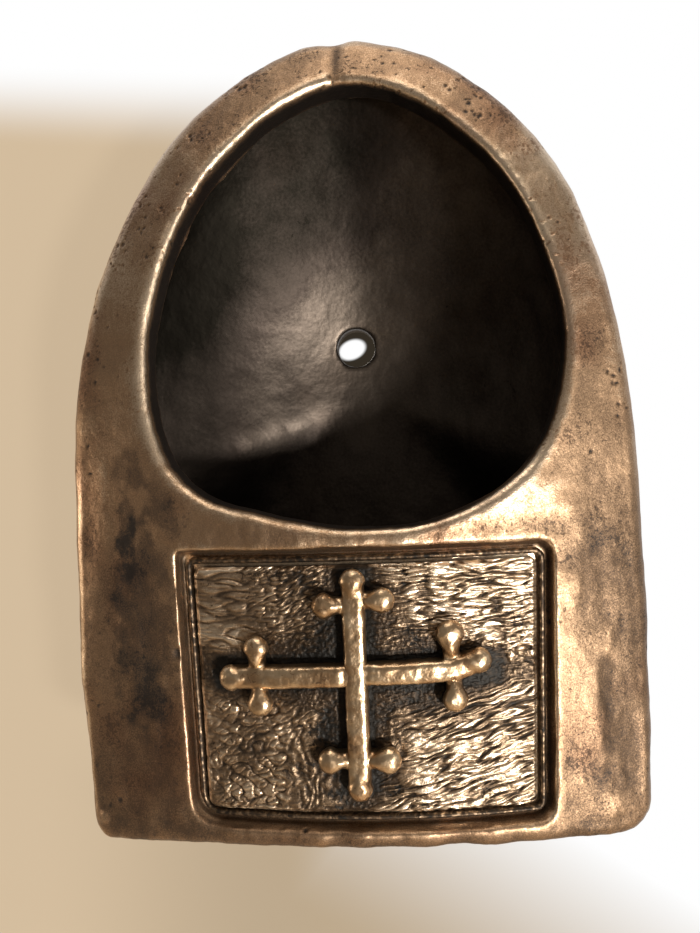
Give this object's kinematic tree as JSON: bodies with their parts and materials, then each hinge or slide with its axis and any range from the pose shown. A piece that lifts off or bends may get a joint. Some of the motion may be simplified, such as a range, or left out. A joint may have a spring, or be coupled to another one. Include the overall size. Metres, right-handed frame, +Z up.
{
  "type": "holy water font",
  "caption": "Wall-hung bronze holy water font: arched hood with an egg-shaped mouth, deep basin behind a bowed front, and a recessed panel with a raised budded cross.",
  "frame": {"origin": "centre of the hanging hole, on the wall plane at the back of the font", "axes": "+X to the right seen from the front, +Y back into the wall, +Z up; the front of the font faces -Y"},
  "size_m": [0.0957, 0.047, 0.1309],
  "materials": {
    "shell_bronze": "dark brown patina over cast bronze, satin",
    "front_bronze": "golden brown cast bronze, hand-worked and rubbed, satin",
    "plaque_bronze": "bark-like relief with dark patina in the lows and rubbed highs",
    "cross_bronze": "rubbed bright bronze, semi-gloss"
  },
  "bodies": {
    "root": {"bowl_shell": "shell_bronze", "rim_left": "front_bronze", "rim_right": "front_bronze", "front_panel": "front_bronze", "panel_border": "plaque_bronze", "relief_plaque": "plaque_bronze", "cross_upright": "cross_bronze", "cross_arm_left": "cross_bronze", "cross_arm_right": "cross_bronze"}
  },
  "joints": []
}
